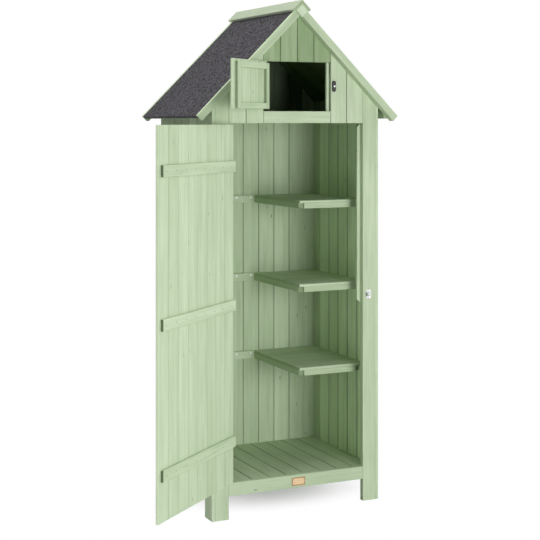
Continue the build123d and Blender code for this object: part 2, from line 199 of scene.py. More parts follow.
grain_layers = []
for width, length in (
    (patch_width, patch_length), (streak_width, streak_length), (fibre_width, fibre_length),
):
    layer_point = add_node(
        sage_stain, "VectorMath", {0: fibre_point, 1: (width, width, length)}, operation="DIVIDE"
    ).outputs[0]
    layer_noise = add_node(
        sage_stain, "TexNoise", {"Vector": layer_point, "Scale": 1.0, "Detail": 3.0, "Distortion": 0.4}
    ).outputs["Fac"]
    layer_share = add_node(
        sage_stain, "MapRange", {"Value": layer_noise, "From Min": 0.3, "From Max": 0.7}
    ).outputs[0]
    grain_layers.append(layer_share)
patch, streak, fibre = grain_layers
patch_and_streak = add_node(sage_stain, "Mix", {0: streak_share, 2: patch, 3: streak}).outputs[0]
with_fibre = add_node(sage_stain, "Mix", {0: fibre_share, 2: patch_and_streak, 3: fibre}).outputs[0]
with_tone_and_painted_light = add_node(sage_stain, "Mix", {0: tone_share, 2: with_fibre, 3: board_tone_and_painted_light}).outputs[0]
stain_and_painted_light_colour = add_node(
    sage_stain, "Mix", {0: with_tone_and_painted_light, 6: pale_sage, 7: deep_sage}, data_type="RGBA", clamp_factor=False
).outputs[2]
knot_share = add_node(sage_stain, "Math", {0: knot, 1: knot_depth}, operation="MULTIPLY").outputs[0]
with_knots = add_node(
    sage_stain, "Mix", {0: knot_share, 6: stain_and_painted_light_colour, 7: knot_sage}, data_type="RGBA"
).outputs[2]
with_ends = add_node(
    sage_stain, "Mix", {0: board_end, 6: with_knots, 7: end_sage}, data_type="RGBA"
).outputs[2]
with_joints_and_painted_light = add_node(
    sage_stain, "Mix", {0: pooled_and_painted_light_share, 6: with_ends, 7: joint_and_painted_shade_sage}, data_type="RGBA", clamp_factor=False
).outputs[2]
stain_roughness = add_node(
    sage_stain, "MapRange", {"Value": fibre, "To Min": 0.6, "To Max": 0.74}
).outputs[0]
grain_relief = add_node(
    sage_stain, "Bump", {"Strength": 0.35, "Distance": relief_depth, "Height": with_fibre}
).outputs[0]
stained_surface = add_node(
    sage_stain, "BsdfPrincipled",
    {
        "Base Color": with_joints_and_painted_light,
        "Roughness": stain_roughness,
        "Specular IOR Level": 0.08,
        "Normal": grain_relief,
    },
)
add_node(sage_stain, "OutputMaterial", {"Surface": stained_surface.outputs[0]})


def set_timber(timber, body, *nodes, thirst_and_painted_light=0, spread=1):
    """Gives a wooden piece its grain and stain and its body, and hides the plain solids that it stands for.
    """
    lay_grain(timber, thirst_and_painted_light, spread)
    timber.data.materials.clear()
    timber.data.materials.append(sage_stain)
    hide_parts(*nodes)
    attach(timber, body)


for node in ("left_legs", "right_legs"):
    set_timber(planed_copy(node), "shed", node)

# Corner posts
# Planed softwood boards set inside the corner boards, front and rear, and nailed to them from the
# side. The front pair runs from the ground up to the roof, and the left one carries the door.
# The post that carries the door is drawn darker, as painted shade from the open door.
hanging_post_painted_shade = 0.6
set_timber(planed_copy("front_left_post"), "shed", "front_left_post", thirst_and_painted_light=hanging_post_painted_shade)
for node in ("front_right_post", "rear_left_post", "rear_right_post"):
    set_timber(planed_copy(node), "shed", node)

# Side walls
# Upright matchboard, with a tongue planed on one edge of every board and a small V beside each joint.
# Five boards fill each side between the corner boards, and their tops follow the roof. The boards are
# drawn paler as painted light, and their inner faces paler still, most towards the doorway where light
# comes in.
joint_gap = 0.0014
joint_stain, chamfer_stain = 0.7, 0.2
side_board_count = 5
side_joint_gap = 0.0026
side_chamfer_stain = 0.3
# Painted light: the side walls' boards are drawn paler, and their inner faces paler towards the doorway.
side_wall_painted_light, side_wall_spread = -1.0, 2.5
inner_painted_light, inner_painted_light_slope = -0.4, Vector((0, 1.5, 0))
square_to = 0.9
gable_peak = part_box("back_wall")[1].z
wall_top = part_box("left_wall")[1]
roof_pitch = math.atan2(gable_peak - wall_top.z, -wall_top.x)


def plank(name, low, high, chamfer):
    """A board that fills a box, with its four long arrises chamfered; it is left in edit mode."""
    size = high - low
    along = max(range(3), key=lambda axis: size[axis])
    bpy.ops.object.select_all(action="DESELECT")
    bpy.ops.mesh.primitive_cube_add(size=1, location=(low + high) / 2, scale=size)
    board = bpy.context.object
    board.name = name
    bpy.ops.object.transform_apply(location=True, rotation=True, scale=True)
    bpy.ops.object.mode_set(mode="EDIT")
    bpy.ops.mesh.select_mode(type="EDGE")
    bpy.ops.mesh.select_all(action="DESELECT")
    mesh = bmesh.from_edit_mesh(board.data)
    for edge in mesh.edges:
        run = edge.verts[1].co - edge.verts[0].co
        edge.select_set(abs(run[along]) > size[along] / 2)
    bmesh.update_edit_mesh(board.data)
    bpy.ops.mesh.bevel(offset=chamfer, segments=1, affect="EDGES")
    return board


def plane_tongue(board, across, low, high, gap):
    """Draws a tongue, a third of the board thick, out of the edge at the high side."""
    size = high - low
    through = min(range(3), key=lambda axis: size[axis])
    edge_middle = (low + high) / 2
    edge_middle[across] = high[across]
    thinner = [1, 1, 1]
    thinner[through] = size[through] / 3 / (size[through] - 2 * gap)
    reach = [0, 0, 0]
    reach[across] = gap
    bpy.ops.mesh.select_mode(type="FACE")
    bpy.ops.mesh.select_all(action="DESELECT")
    mesh = bmesh.from_edit_mesh(board.data)
    for face in mesh.faces:
        face.select_set(face.normal[across] > square_to)
    bmesh.update_edit_mesh(board.data)
    bpy.ops.mesh.extrude_region_move()
    bpy.ops.transform.resize(value=thinner, center_override=edge_middle)
    bpy.ops.mesh.extrude_region_move(TRANSFORM_OT_translate={"value": reach})


def stain_joints(boards, across, start, width, gap, v_stain, edge_painted_light):
    """Marks the faces inside the joints of a row, where the stain collects, and the V beside them; the
    faces at the row's two ends get the painted light or shade given for its edges.
    """
    mesh = bmesh.new()
    mesh.from_mesh(boards.data)
    pooled = mesh.faces.layers.float.new("pooled")
    ends = [vertex.co[across] for vertex in mesh.verts]
    first, last = min(ends), max(ends)
    for face in mesh.faces:
        middle = face.calc_center_median()[across]
        into_board = (middle - start) % width
        from_edge = min(into_board, width - gap - into_board)
        if min(middle - first, last - middle) < gap:
            face[pooled] = edge_painted_light
        elif from_edge < gap / 4:
            face[pooled] = joint_stain
        elif from_edge < gap:
            face[pooled] = v_stain
    mesh.to_mesh(boards.data)
    mesh.free()


def matchboards(
    name, low, high, across, width, start=None, gap=joint_gap, v_stain=chamfer_stain, edge_painted_light=0
):
    """A row of like boards that fills a box; its first and last boards are wider or narrower to fit."""
    start = low[across] if start is None else start
    count = round((high[across] - start) / width)
    last_low = low.copy()
    last_low[across] = start + (count - 1) * width
    plank(f"{name}_last", last_low, high, gap)
    bpy.ops.object.mode_set(mode="OBJECT")
    last = bpy.context.object

    first_low, first_high = low.copy(), high.copy()
    first_low[across] = start
    first_high[across] = start + width - gap
    boards = plank(name, first_low, first_high, gap)
    plane_tongue(boards, across, first_low, first_high, gap)
    bpy.ops.object.mode_set(mode="OBJECT")
    row = boards.modifiers.new("Row", "ARRAY")
    row.count = count - 1
    row.use_relative_offset = False
    row.use_constant_offset = True
    row.constant_offset_displace = [width if axis == across else 0 for axis in range(3)]
    bpy.ops.object.modifier_apply(modifier="Row")
    bpy.ops.object.mode_set(mode="EDIT")
    bpy.ops.mesh.select_mode(type="VERT")
    bpy.ops.mesh.select_all(action="DESELECT")
    mesh = bmesh.from_edit_mesh(boards.data)
    for vertex in mesh.verts:
        vertex.select_set(vertex.co[across] < start + 2 * gap)
    bmesh.update_edit_mesh(boards.data)
    bpy.ops.transform.translate(value=[low[across] - start if axis == across else 0 for axis in range(3)])
    bpy.ops.object.mode_set(mode="OBJECT")
    last.select_set(True)
    bpy.ops.object.join()
    stain_joints(boards, across, start, width, gap, v_stain, edge_painted_light)
    return boards


def cut_to_roof(timber):
    """Saws the tops of a piece's boards to both slopes of the roof."""
    bpy.ops.object.mode_set(mode="EDIT")
    for side in (-1, 1):
        bpy.ops.mesh.select_all(action="SELECT")
        bpy.ops.mesh.bisect(
            plane_co=(0, 0, gable_peak),
            plane_no=(side * math.sin(roof_pitch), 0, math.cos(roof_pitch)),
            use_fill=True,
            clear_outer=True,
        )
    bpy.ops.object.mode_set(mode="OBJECT")
    return timber


def paint_light_on_faces(timber, way, painted_light, slope=Vector()):
    """Darkens the faces that look one way as painted shade, or below zero makes them paler as painted
    light.

    A slope makes it darker along it, by so much for each metre.
    """
    facing = 0.8
    marks = timber.data.attributes
    pooled = marks.get("pooled") or marks.new("pooled", "FLOAT", "FACE")
    for face, mark in zip(timber.data.polygons, pooled.data):
        mark.value += (painted_light + face.center.dot(slope)) * (face.normal.dot(way) > facing)
    return timber


for node, inward in (("left_wall", 1), ("right_wall", -1)):
    low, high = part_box(node)
    board_width = (high.y - low.y) / side_board_count
    wall_boards = matchboards(
        f"{node}_boards", low, high, 1, board_width, gap=side_joint_gap, v_stain=side_chamfer_stain
    )
    paint_light_on_faces(cut_to_roof(wall_boards), Vector((inward, 0, 0)), inner_painted_light, inner_painted_light_slope)
    set_timber(wall_boards, "shed", node, thirst_and_painted_light=side_wall_painted_light, spread=side_wall_spread)

# Back wall
# Eight upright matchboards between the rear posts, from the floor's bearers up to the peak of the
# rear gable. They are nailed to the floor, the back rails and the loft's ledger. Inside the loft their
# front faces are drawn dark, as painted shade.
back_board_width = 0.0643
back_board_start = -0.2492
painted_loft_wall_shade = 0.75
loft_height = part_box("loft_floor")[1].z
low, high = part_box("back_wall")
back_boards = matchboards("back_wall_boards", low, high, 0, back_board_width, back_board_start)
set_timber(cut_to_roof(back_boards), "shed", "back_wall")
bpy.ops.object.mode_set(mode="EDIT")
bpy.ops.mesh.select_all(action="SELECT")
bpy.ops.mesh.bisect(plane_co=(0, 0, loft_height), plane_no=(0, 0, 1))
bpy.ops.object.mode_set(mode="OBJECT")
# Painted shade: the boards' front faces inside the loft are drawn dark.
for face, mark in zip(back_boards.data.polygons, back_boards.data.attributes["pooled"].data):
    if face.center.z > loft_height and face.normal.y < 0:
        mark.value = max(mark.value, painted_loft_wall_shade)

# Front rail
# A planed softwood rail let in flush between the front posts, which closes the front of the floor
# and makes the threshold of the doorway.
rail_ease = 0.002
set_timber(planed_copy("front_rail", rail_ease), "shed", "front_rail")

# Floor
# Planed softwood matchboards that run from front to back, nailed down on three bearers. The stain
# lies dark in their joints.
floor_board_width = 0.0655
floor_board_start = -0.2925
floor_chamfer_stain = 0.6
low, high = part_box("floor")
floor_boards = matchboards(
    "floor_boards", low, high, 0, floor_board_width, floor_board_start, v_stain=floor_chamfer_stain
)
set_timber(floor_boards, "shed", "floor")
set_timber(planed_copy("floor_bearers"), "shed", "floor_bearers")

# Back rails and shelves
# Each shelf is six boards along the shed's width on a frame of planed battens, and rests on the
# end of a rail that is screwed across the back wall.
set_timber(planed_copy("back_rails"), "shed", "back_rails")
shelf_board_count = 6
for node in ("lower_shelf", "middle_shelf", "upper_shelf"):
    low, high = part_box(node)
    board_width = (high.y - low.y) / shelf_board_count
    set_timber(matchboards(f"{node}_boards", low, high, 1, board_width), "shed", node)

batten_ease = 0.0006
# Painted shade on the end battens' front faces, set back behind the front batten, and painted light on the
# front batten's left ends.
end_batten_painted_shade, front_batten_painted_light = 0.4, -0.25
end_batten_thirst, front_batten_thirst = 1.2, 0.8
forward, left = Vector((0, -1, 0)), Vector((-1, 0, 0))
end_battens = paint_light_on_faces(planed_copy("shelf_end_battens", batten_ease), forward, end_batten_painted_shade)
set_timber(end_battens, "shed", "shelf_end_battens", thirst_and_painted_light=end_batten_thirst)
front_battens = paint_light_on_faces(planed_copy("shelf_front_battens", batten_ease), left, front_batten_painted_light)
set_timber(front_battens, "shed", "shelf_front_battens", thirst_and_painted_light=front_batten_thirst)

# Loft floor
# Boards from front to back on two ledgers, which are screwed to the front gable and the back wall.
# They are drawn darker, as painted shade inside the loft.
painted_loft_shade = 5.5
low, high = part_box("loft_floor")
loft_boards = matchboards("loft_floor_boards", low, high, 0, floor_board_width, floor_board_start)
set_timber(loft_boards, "shed", "loft_floor", thirst_and_painted_light=painted_loft_shade)
set_timber(planed_copy("loft_ledgers"), "shed", "loft_ledgers")

# Front gable
# Upright matchboards round the hatch, two to each side and four above, sawn to the roof's slopes.
# The four above are drawn darker, as painted shade under the roof's overhang, and the faces at the
# ends of each row are drawn darker, as painted shade. One level board makes the sill, and a batten
# behind the right edge stops the hatch door.
# Painted shade on the ends of each row and on the boards above the hatch.
gable_edge_painted_shade = 0.6
gable_top_painted_shade = 3.2
for node, count, thirst_and_painted_light in (
    ("gable_left", 2, 0), ("gable_right", 2, 0), ("gable_top", 4, gable_top_painted_shade),
):
    low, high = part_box(node)
    board_width = (high.x - low.x) / count
    gable_boards = matchboards(f"{node}_boards", low, high, 0, board_width, edge_painted_light=gable_edge_painted_shade)
    set_timber(cut_to_roof(gable_boards), "shed", node, thirst_and_painted_light=thirst_and_painted_light)
for node in ("hatch_sill", "hatch_stop"):
    set_timber(planed_copy(node, rail_ease), "shed", node)

# Roof deck
# Two panels of sawn boards that run from front to back, nailed to the gables and the eave battens,
# with soffit battens under their ends and planed barge boards over the end grain. The panels are drawn
# darker, as painted shade inside the loft; the barge boards are drawn a little darker, as painted
# shade, and their top edges paler, as a painted highlight.
for node in ("roof_deck_left", "roof_deck_right"):
    set_timber(planed_copy(node), "shed", node, thirst_and_painted_light=painted_loft_shade)
for node in ("left_soffit_battens", "right_soffit_battens", "eave_battens"):
    set_timber(planed_copy(node), "shed", node)
barge_ease = 0.002
# Painted shade on the barge boards, and a painted highlight on their top edges.
barge_painted_shade = 0.6
barge_top_painted_highlight = -0.9
for node, side in (("left_barge_boards", -1), ("right_barge_boards", 1)):
    off_slope = Vector((side * math.sin(roof_pitch), 0, math.cos(roof_pitch)))
    barge_boards = paint_light_on_faces(planed_copy(node, barge_ease), off_slope, barge_top_painted_highlight)
    set_timber(barge_boards, "shed", node, thirst_and_painted_light=barge_painted_shade)

# Roofing felt
# A sheet of bitumen felt over each slope, folded down over the eave and nailed along its edges. The
# crushed slate on it looks dull and speckled. Its grit is a millimetre or so across, and is drawn at
# three or four, so that it shows.
mineral_felt = new_material("slate_faced_felt")
felt_place = add_node(mineral_felt, "TexCoord").outputs["Object"]
felt_ease = 0.0007
grit_size, grit_height = 0.0034, 0.0012
patch_size = 0.06
grit = add_node(mineral_felt, "TexVoronoi", {"Vector": felt_place, "Scale": 1 / grit_size})
grit_chance = add_node(mineral_felt, "SeparateColor", {"Color": grit.outputs["Color"]}).outputs["Red"]
grit_shade = add_node(
    mineral_felt, "MapRange", {"Value": grit_chance, "From Min": 0.25, "From Max": 0.75}
).outputs[0]
patches = add_node(
    mineral_felt, "TexNoise", {"Vector": felt_place, "Scale": 1 / patch_size, "Detail": 4.0}
).outputs["Fac"]
grit_colour = add_node(
    mineral_felt, "Mix", {0: grit_shade, 6: linear("#050506"), 7: linear("#726F75")}, data_type="RGBA"
).outputs[2]
patch_share = add_node(
    mineral_felt, "MapRange", {"Value": patches, "From Min": 0.3, "From Max": 0.7, "To Max": 0.2}
).outputs[0]
felt_colour = add_node(
    mineral_felt, "Mix", {0: patch_share, 6: grit_colour, 7: linear("#3C3B3D")}, data_type="RGBA"
).outputs[2]
grit_relief = add_node(
    mineral_felt, "Bump", {"Strength": 0.6, "Distance": grit_height, "Height": grit.outputs["Distance"]}
).outputs[0]
felt_surface = add_node(
    mineral_felt, "BsdfPrincipled",
    {"Base Color": felt_colour, "Roughness": 0.92, "Specular IOR Level": 0.25, "Normal": grit_relief},
)
add_node(mineral_felt, "OutputMaterial", {"Surface": felt_surface.outputs[0]})

for node in ("roof_felt_left", "roof_felt_right"):
    felt = planed_copy(node, felt_ease)
    felt.data.materials.clear()
    felt.data.materials.append(mineral_felt)
    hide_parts(node)
    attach(felt, "shed")

# Ridge
# Two planed boards meet along the ridge and cover the joint of the felt. A square block set
# cornerwise under each end closes the gap between them.
ridge_ease = 0.0015
# The ridge boards are drawn paler, as painted light from above.
ridge_painted_light = -1.2
for node in ("ridge_cap_left", "ridge_cap_right", "ridge_end_blocks"):
    set_timber(planed_copy(node, ridge_ease), "shed", node, thirst_and_painted_light=ridge_painted_light)

# Door stop
# A planed softwood batten with a mitred top, fixed behind the right post, that the free edge of the
# closed door meets.
set_timber(planed_copy("door_stop"), "shed", "door_stop")

# Door
# Eight upright matchboards held by three planed ledges that are screwed to the inner face. It stands
# open as in use, and turns on three butt hinges.
door_board_count = 8
leaf_joint_gap = 0.0009
# Painted light on the faces at both outer edges of each leaf's boards, which are drawn paler.
leaf_edge_painted_light = -0.3
ledge_ease = 0.002
# Painted shade on the ledges' ends at the free edge, which are drawn darker.
ledge_end_painted_shade = 0.75


def leaf_frame(node):
    """The frame of an open leaf: x from its hinged to its free edge, y out of its inner face, z up."""
    corners = sorted((vertex.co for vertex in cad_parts[node].data.vertices), key=lambda at: at.x)
    half = len(corners) // 2
    free = sum(corners[:half], Vector()) / half
    hinged = sum(corners[-half:], Vector()) / half
    out = Vector((free.x - hinged.x, free.y - hinged.y, 0)).normalized()
    up = Vector((0, 0, 1))
    return Matrix((out, up.cross(out), up)).transposed().to_4x4()


def leaf_box(node):
    """The low and high corners of an open leaf in its own frame."""
    turned_back = leaf_frame(node).inverted()
    corners = [turned_back @ vertex.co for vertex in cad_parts[node].data.vertices]
    low = Vector(min(corner[axis] for corner in corners) for axis in range(3))
    high = Vector(max(corner[axis] for corner in corners) for axis in range(3))
    return low, high


def leaf_boards(node, count):
    """The matchboards of an open leaf, laid in its own frame and turned with it."""
    low, high = leaf_box(node)
    width = (high.x - low.x) / count
    boards = matchboards(
        f"{node}_boards", low, high, 0, width, gap=leaf_joint_gap, edge_painted_light=leaf_edge_painted_light
    )
    boards.matrix_world = leaf_frame(node)
    bpy.ops.object.transform_apply(location=True, rotation=True, scale=True)
    return boards


set_timber(leaf_boards("door_panel", door_board_count), "door", "door_panel")
door_leaf = leaf_frame("door_panel")
door_ledges = paint_light_on_faces(planed_copy("door_ledges", ledge_ease), door_leaf.col[0].xyz, ledge_end_painted_shade)
set_timber(door_ledges, "door", "door_ledges")

# Hatch door
# Four short matchboards in a thin frame of planed softwood rails and stiles, hung on two small
# hinges and fixed open beside the hatch.
hatch_board_count = 4
# Painted shade on the stiles' sides that face the free edge.
stile_side_painted_shade = 0.5
hatch_thirst = 0.8
set_timber(leaf_boards("hatch_door", hatch_board_count), "shed", "hatch_door", thirst_and_painted_light=hatch_thirst)
set_timber(planed_copy("hatch_rails"), "shed", "hatch_rails", thirst_and_painted_light=hatch_thirst)
hatch_leaf = leaf_frame("hatch_door")
hatch_stiles = paint_light_on_faces(planed_copy("hatch_stiles"), hatch_leaf.col[0].xyz, stile_side_painted_shade)
set_timber(hatch_stiles, "shed", "hatch_stiles", thirst_and_painted_light=hatch_thirst)

# Hinges, bolt and keeper
# Pressed and rolled mild steel, screwed flat on the wood. Its bright zinc plating is satin, with a
# faint spangle.
zinc_plate = new_material("bright_zinc_plated_steel")
zinc_place = add_node(zinc_plate, "TexCoord").outputs["Object"]
spangle_size = 0.004
spangle = add_node(
    zinc_plate, "TexNoise", {"Vector": zinc_place, "Scale": 1 / spangle_size, "Detail": 2.0}
).outputs["Fac"]
zinc_colour = add_node(
    zinc_plate, "Mix", {0: spangle, 6: linear("#AAADAC"), 7: linear("#C8CAC7")}, data_type="RGBA"
).outputs[2]
zinc_roughness = add_node(
    zinc_plate, "MapRange",
    {"Value": spangle, "From Min": 0.3, "From Max": 0.7, "To Min": 0.4, "To Max": 0.56},
).outputs[0]
zinc_surface = add_node(
    zinc_plate, "BsdfPrincipled", {"Base Color": zinc_colour, "Metallic": 1.0, "Roughness": zinc_roughness}
)
add_node(zinc_plate, "OutputMaterial", {"Surface": zinc_surface.outputs[0]})
for node in (
    "bolt_keeper", "post_hinge_leaves", "hinge_pins", "hatch_hinges", "door_hinge_leaves", "door_bolt",
):
    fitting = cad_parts[node].data
    fitting.materials.clear()
    fitting.materials.append(zinc_plate)

# Turn button
# A moulded dark brown plastic catch, oval, held by one screw and turned upright. It is satin, and its
# mould left a grain of about a millimetre.
mould_grain = 1 / 900
dark_plastic = new_material("moulded_brown_plastic")
plastic_place = add_node(dark_plastic, "TexCoord").outputs["Object"]
mould_texture = add_node(
    dark_plastic, "TexNoise", {"Vector": plastic_place, "Scale": 1 / mould_grain, "Detail": 2.0}
).outputs["Fac"]
plastic_colour = add_node(
    dark_plastic, "Mix", {0: mould_texture, 6: linear("#170F12"), 7: linear("#2C2226")}, data_type="RGBA"
).outputs[2]
plastic_roughness = add_node(
    dark_plastic, "MapRange", {"Value": mould_texture, "To Min": 0.22, "To Max": 0.34}
).outputs[0]
plastic_surface = add_node(
    dark_plastic, "BsdfPrincipled", {"Base Color": plastic_colour, "Roughness": plastic_roughness}
)
add_node(dark_plastic, "OutputMaterial", {"Surface": plastic_surface.outputs[0]})
turn_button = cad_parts["hatch_turn_button"].data
turn_button.materials.clear()
turn_button.materials.append(dark_plastic)

# Screws
# Zinc plated steel screws with raised heads and a recess, pressed and polished bright. They hold the
# hinges, the bolt, the keeper and the turn button to the wood.
screw_radius = 0.0033
head_rise = 0.0007
# The steps of a crown: inwards as a share of the radius, and up as a share of the rise.
crown_shares = ((0.28, 0.9), (0.26, 0.45), (0.16, 0.15))
crown_angle = math.radians(40)
# The hinges sit at the ledges. Their screws are set outwards from the pin, and up from the middle.
ledge_middles = (0.2699, 0.7262, 1.1927)
hinge_screws = ((0.010, -0.024), (0.019, 0.0), (0.010, 0.024))
hinge_face_step = 0.0015
post_leaf_edge, hinge_pin_place = -0.2845, 0.029
bolt_height = 0.7312
bolt_plate_ends = (0.032, 0.112)
bolt_screw_rise = 0.0115
keeper_screw_place = 0.2845
hatch_hinge_middles = (1.4185, 1.5161)
hatch_screw_rise = 0.009
hatch_post_screw, hatch_leaf_screw = -0.1375, 0.0085
hatch_hinge_step = 0.0012
button_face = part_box("hatch_turn_button")[0].y
button_middle = sum(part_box("hatch_turn_button"), Vector()) / 2


def screw_head(name, radius):
    """A raised head with a recess, which looks up from the origin."""
    bpy.ops.object.select_all(action="DESELECT")
    bpy.ops.mesh.primitive_cylinder_add(vertices=16, radius=radius, depth=head_rise, location=(0, 0, 0))
    head = bpy.context.object
    head.name = name
    bpy.ops.object.mode_set(mode="EDIT")
    bpy.ops.mesh.select_mode(type="FACE")
    bpy.ops.mesh.select_all(action="DESELECT")
    mesh = bmesh.from_edit_mesh(head.data)
    for face in mesh.faces:
        face.select_set(face.normal.z > square_to)
    bmesh.update_edit_mesh(head.data)
    for across_share, rise_share in crown_shares:
        bpy.ops.mesh.inset(thickness=radius * across_share, depth=head_rise * rise_share)
    bpy.ops.mesh.extrude_region_move(TRANSFORM_OT_translate={"value": (0, 0, -head_rise)})
    bpy.ops.object.mode_set(mode="OBJECT")
    bpy.ops.object.shade_smooth_by_angle(angle=crown_angle)
    return head


def drive_screws(head, places):
    """Copies of a head at places, each given with the way it looks, joined into one piece."""
    name = head.name
    bpy.ops.object.select_all(action="DESELECT")
    for place, out in places:
        copy = bpy.data.objects.new(name, head.data.copy())
        copy.data.transform(Matrix.Translation(place) @ out.to_track_quat("Z", "Y").to_matrix().to_4x4())
        bpy.context.collection.objects.link(copy)
        copy.select_set(True)
    bpy.context.view_layer.objects.active = copy
    bpy.ops.object.join()
    bpy.data.objects.remove(head)
    copy.name = name
    return copy


shed_places = []
front_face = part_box("front_left_post")[0].y
for middle in ledge_middles:
    for along, rise in hinge_screws:
        place = (post_leaf_edge + hinge_pin_place - along, front_face - hinge_face_step, middle + rise)
        shed_places.append((Vector(place), forward))
for side in (-1, 1):
    keeper_screw = (keeper_screw_place, front_face - hinge_face_step, bolt_height + side * bolt_screw_rise)
    shed_places.append((Vector(keeper_screw), forward))
shed_places.append((Vector((button_middle.x, button_face, button_middle.z)), forward))

door_low, door_high = leaf_box("door_panel")
door_out = door_leaf @ forward
door_places = []
for middle in ledge_middles:
    for along, rise in hinge_screws:
        place = (door_low.x + along, door_low.y - hinge_face_step, middle + rise)
        door_places.append((door_leaf @ Vector(place), door_out))
for end in bolt_plate_ends:
    for side in (-1, 1):
        place = (door_high.x - end, door_low.y - hinge_face_step, bolt_height + side * bolt_screw_rise)
        door_places.append((door_leaf @ Vector(place), door_out))

hatch_low = leaf_box("hatch_door")[0]
hatch_out = hatch_leaf @ forward
for middle in hatch_hinge_middles:
    for side in (-1, 1):
        height = middle + side * hatch_screw_rise
        shed_places.append((Vector((hatch_post_screw, front_face - hatch_hinge_step, height)), forward))
        place = (hatch_low.x + hatch_leaf_screw, hatch_low.y - hatch_hinge_step, height)
        shed_places.append((hatch_leaf @ Vector(place), hatch_out))

# Polished before they were plated, so that their crowns catch the light even in the shade.
bright_zinc = new_material("polished_zinc_plated_steel")
head_place = add_node(bright_zinc, "TexCoord").outputs["Object"]
head_scuff = add_node(
    bright_zinc, "TexNoise", {"Vector": head_place, "Scale": 1 / screw_radius, "Detail": 2.0}
).outputs["Fac"]
head_colour = add_node(
    bright_zinc, "Mix", {0: head_scuff, 6: linear("#E2E4E0"), 7: linear("#FAFBF8")}, data_type="RGBA"
).outputs[2]
head_roughness = add_node(
    bright_zinc, "MapRange", {"Value": head_scuff, "To Min": 0.14, "To Max": 0.28}
).outputs[0]
head_surface = add_node(
    bright_zinc, "BsdfPrincipled", {"Base Color": head_colour, "Metallic": 1.0, "Roughness": head_roughness}
)
add_node(bright_zinc, "OutputMaterial", {"Surface": head_surface.outputs[0]})
for body, places in (("shed", shed_places), ("door", door_places)):
    screws = drive_screws(screw_head(f"{body}_screws", screw_radius), places)
    screws.data.materials.append(bright_zinc)
    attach(screws, body)

# Rail screws
# Steel screws with raised white heads, which fasten the back rails to the boards. The white stands in
# for the glint of their crowns, a painted highlight; the heads are glossy, and a little rubbed.
rail_screw_radius = 0.0042
rail_screw_heights = (0.4645, 0.760, 1.0555)
rail_screw_count, rail_screw_spacing, rail_screw_start = 10, 0.0586, -0.2594
back_rail_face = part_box("back_rails")[0].y
# Painted highlight: the heads are drawn white.
white_painted_highlight = new_material("white_lacquered_steel")
highlight_place = add_node(white_painted_highlight, "TexCoord").outputs["Object"]
highlight_rub = add_node(
    white_painted_highlight, "TexNoise", {"Vector": highlight_place, "Scale": 1 / rail_screw_radius, "Detail": 2.0}
).outputs["Fac"]
painted_highlight_colour = add_node(
    white_painted_highlight, "Mix", {0: highlight_rub, 6: linear("#F4F5F2"), 7: linear("#FFFFFF")}, data_type="RGBA"
).outputs[2]
highlight_roughness = add_node(
    white_painted_highlight, "MapRange", {"Value": highlight_rub, "To Min": 0.2, "To Max": 0.36}
).outputs[0]
highlight_surface = add_node(
    white_painted_highlight, "BsdfPrincipled", {"Base Color": painted_highlight_colour, "Roughness": highlight_roughness}
)
add_node(white_painted_highlight, "OutputMaterial", {"Surface": highlight_surface.outputs[0]})
rail_places = [
    (Vector((rail_screw_start + number * rail_screw_spacing, back_rail_face, height)), forward)
    for height in rail_screw_heights
    for number in range(rail_screw_count)
]
rail_screws = drive_screws(screw_head("rail_screws", rail_screw_radius), rail_places)
rail_screws.data.materials.append(white_painted_highlight)
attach(rail_screws, "shed")

# Ledge screws
# One smaller screw through each ledge into the middle of each door board. Its head is drawn in the
# wood's stain and darker, as painted shade for the countersunk hole round it.
ledge_screw_radius = 0.002
ledge_screw_painted_shade = 0.3
ledge_depth = 0.010
ledge_places = []
for middle in ledge_middles:
    for board in range(door_board_count):
        board_middle = door_low.x + (board + 0.5) * (door_high.x - door_low.x) / door_board_count
        place = (board_middle, door_high.y + ledge_depth, middle)
        ledge_places.append((door_leaf @ Vector(place), -door_out))
ledge_screws = drive_screws(screw_head("ledge_screws", ledge_screw_radius), ledge_places)
lay_grain(ledge_screws)
# Painted shade: the heads are drawn darker.
painted_hole_shade = ledge_screws.data.attributes.new("pooled", "FLOAT", "FACE")
painted_hole_shade.data.foreach_set("value", [ledge_screw_painted_shade] * len(ledge_screws.data.polygons))
ledge_screws.data.materials.append(sage_stain)
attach(ledge_screws, "door")

# Brass plate
# Thin sheet brass with a pressed rim, pinned near the middle of the front rail and left bare. It is
# brushed along its length, has dulled a little, and is tarnished brown round the rim.
plate_thickness = 0.0014
plate_low = Vector((-0.0215, front_face - plate_thickness, 0.0855))
plate_high = Vector((0.029, front_face, 0.1135))
plate_rim = 0.0024
plate_recess = 0.0005
rim_tarnish = 0.6
flat_on = 0.99
brush_length, brush_width = 0.03, 0.0008
bpy.ops.object.select_all(action="DESELECT")
bpy.ops.mesh.primitive_cube_add(
    size=1, location=(plate_low + plate_high) / 2, scale=plate_high - plate_low
)
brass_plate = bpy.context.object
brass_plate.name = "brass_plate"
bpy.ops.object.transform_apply(location=True, rotation=True, scale=True)
bpy.ops.object.mode_set(mode="EDIT")
bpy.ops.mesh.select_all(action="SELECT")
bpy.ops.mesh.bevel(offset=plate_recess, segments=2, affect="EDGES")
bpy.ops.mesh.select_mode(type="FACE")
bpy.ops.mesh.select_all(action="DESELECT")
mesh = bmesh.from_edit_mesh(brass_plate.data)
for face in mesh.faces:
    face.select_set(face.normal.y < -flat_on)
bmesh.update_edit_mesh(brass_plate.data)
bpy.ops.mesh.inset(thickness=plate_rim, depth=0)
bpy.ops.mesh.inset(thickness=plate_recess, depth=-plate_recess)
bpy.ops.object.mode_set(mode="OBJECT")
tarnish = brass_plate.data.attributes.new("tarnish", "FLOAT", "FACE")
field = max(brass_plate.data.polygons, key=lambda face: face.area * (face.normal.y < 0)).index
tarnish.data.foreach_set("value", [rim_tarnish * (face != field) for face in range(len(tarnish.data))])

